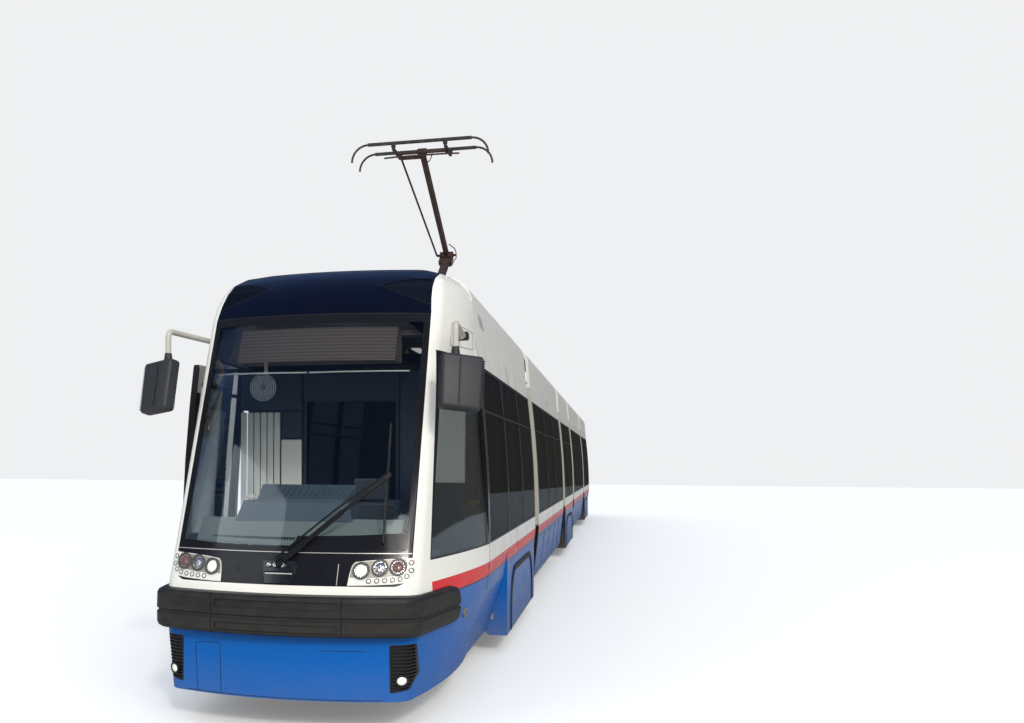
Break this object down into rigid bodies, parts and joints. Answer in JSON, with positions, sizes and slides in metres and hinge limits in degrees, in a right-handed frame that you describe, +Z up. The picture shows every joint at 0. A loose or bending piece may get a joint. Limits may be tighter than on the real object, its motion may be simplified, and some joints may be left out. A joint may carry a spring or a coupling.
{
  "type": "articulated low-floor tram",
  "caption": "Articulated low-floor tram with hinged sections, turning wheelsets and a folding single-arm pantograph.",
  "frame": {"origin": "centre of the tram's length and width, at the flange tips of the wheels (the rail top is at +22 mm)", "axes": "+Z up, -Y towards the tram's front, +X towards its own left"},
  "size_m": [2.6156, 30.1196, 5.512],
  "materials": {
    "body_paint": "gloss livery in white, red and blue",
    "roof_paint": "semi-gloss",
    "mask_paint": "gloss livery with a black screen surround",
    "floor_metal": "matt underframe paint",
    "side_glass": "tinted",
    "screen_glass": "lightly tinted",
    "interior_trim": "satin lining",
    "desk_plastic": "grained",
    "bellows_rubber": "matt coated fabric",
    "door_paint": "gloss",
    "wheel_steel": "worn tread, dark web",
    "bogie_paint": "matt, dusty",
    "bumper_plastic": "grained charcoal",
    "lamp_lens": "clear",
    "tail_lens": "gloss",
    "mirror_plastic": "grained",
    "wiper_black": "satin",
    "pantograph_metal": "weathered"
  },
  "bodies": {
    "section_c": {"shell_c": "body_paint", "roof_c": "roof_paint", "floor_c": "floor_metal", "glass_c": "side_glass", "interior_c": "interior_trim", "bogie_c": "bogie_paint", "bellows_bc": "bellows_rubber", "bellows_cd": "bellows_rubber"},
    "section_b": {"shell_b": "body_paint", "roof_b": "roof_paint", "floor_b": "floor_metal", "glass_b": "side_glass", "interior_b": "interior_trim", "doors_b": "door_paint", "bellows_ab": "bellows_rubber"},
    "section_d": {"shell_d": "body_paint", "roof_d": "roof_paint", "floor_d": "floor_metal", "glass_d": "side_glass", "interior_d": "interior_trim", "doors_d": "door_paint", "bellows_de": "bellows_rubber"},
    "section_a": {"shell_a": "body_paint", "roof_a": "roof_paint", "floor_a": "floor_metal", "glass_a": "side_glass", "interior_a": "interior_trim", "bogie_a": "bogie_paint", "door_front": "door_paint", "nose_mask": "mask_paint", "windscreen": "screen_glass", "front_bumper": "bumper_plastic", "front_lamps": "lamp_lens", "dashboard": "desk_plastic", "wiper": "wiper_black", "mirrors": "mirror_plastic", "pantograph_base": "pantograph_metal"},
    "section_e": {"shell_e": "body_paint", "roof_e": "roof_paint", "floor_e": "floor_metal", "glass_e": "side_glass", "interior_e": "interior_trim", "bogie_e": "bogie_paint", "door_rear": "door_paint", "tail_mask": "mask_paint", "rear_window": "screen_glass", "rear_bumper": "bumper_plastic", "tail_lamps": "tail_lens"},
    "pantograph_lower": {"pantograph_lower_arm": "pantograph_metal"},
    "pantograph_upper": {"pantograph_upper_arm": "pantograph_metal"},
    "pantograph_bow": {"pantograph_head": "pantograph_metal"},
    "wheelset_1": {"wheelset_1": "wheel_steel"},
    "wheelset_2": {"wheelset_2": "wheel_steel"},
    "wheelset_3": {"wheelset_3": "wheel_steel"},
    "wheelset_4": {"wheelset_4": "wheel_steel"},
    "wheelset_5": {"wheelset_5": "wheel_steel"},
    "wheelset_6": {"wheelset_6": "wheel_steel"}
  },
  "joints": [
    {"name": "pivot_bc", "type": "hinge", "parent": "section_c", "child": "section_b", "pos_m": [0, -1.93, 0.322], "axis": [0, 0, 1], "range_deg": [-17, 17], "deforming": ["bellows_bc"]},
    {"name": "pivot_cd", "type": "hinge", "parent": "section_c", "child": "section_d", "pos_m": [0, 1.93, 0.322], "axis": [0, 0, 1], "range_deg": [-17, 17], "deforming": ["bellows_cd"]},
    {"name": "pivot_ab", "type": "hinge", "parent": "section_b", "child": "section_a", "pos_m": [0, -8.21, 0.322], "axis": [0, 0, 1], "range_deg": [-17, 17], "deforming": ["bellows_ab"]},
    {"name": "pivot_de", "type": "hinge", "parent": "section_d", "child": "section_e", "pos_m": [0, 8.21, 0.322], "axis": [0, 0, 1], "range_deg": [-17, 17], "deforming": ["bellows_de"]},
    {"name": "wheelset_1_spin", "type": "hinge", "parent": "section_a", "child": "wheelset_1", "pos_m": [0, -11.11, 0.322], "axis": [1, 0, 0], "continuous": true},
    {"name": "wheelset_2_spin", "type": "hinge", "parent": "section_a", "child": "wheelset_2", "pos_m": [0, -9.31, 0.322], "axis": [1, 0, 0], "continuous": true},
    {"name": "wheelset_3_spin", "type": "hinge", "parent": "section_c", "child": "wheelset_3", "pos_m": [0, -0.9, 0.322], "axis": [1, 0, 0], "continuous": true},
    {"name": "wheelset_4_spin", "type": "hinge", "parent": "section_c", "child": "wheelset_4", "pos_m": [0, 0.9, 0.322], "axis": [1, 0, 0], "continuous": true},
    {"name": "wheelset_5_spin", "type": "hinge", "parent": "section_e", "child": "wheelset_5", "pos_m": [0, 9.31, 0.322], "axis": [1, 0, 0], "continuous": true},
    {"name": "wheelset_6_spin", "type": "hinge", "parent": "section_e", "child": "wheelset_6", "pos_m": [0, 11.11, 0.322], "axis": [1, 0, 0], "continuous": true},
    {"name": "pantograph_lift", "type": "hinge", "parent": "section_a", "child": "pantograph_lower", "pos_m": [0, -9.71, 3.672], "axis": [1, 0, 0], "range_deg": [-30, 15]},
    {"name": "pantograph_knee", "type": "hinge", "parent": "pantograph_lower", "child": "pantograph_upper", "pos_m": [0, -8.56, 4.482], "axis": [1, 0, 0], "range_deg": [-30, 60]},
    {"name": "pantograph_level", "type": "hinge", "parent": "pantograph_upper", "child": "pantograph_bow", "pos_m": [0, -10.155, 5.432], "axis": [1, 0, 0], "range_deg": [-30, 15]}
  ],
  "couplings": [
    {"joint": "pantograph_knee", "follows": "pantograph_lift", "ratio": -2},
    {"joint": "pantograph_level", "follows": "pantograph_lift", "ratio": 1}
  ]
}
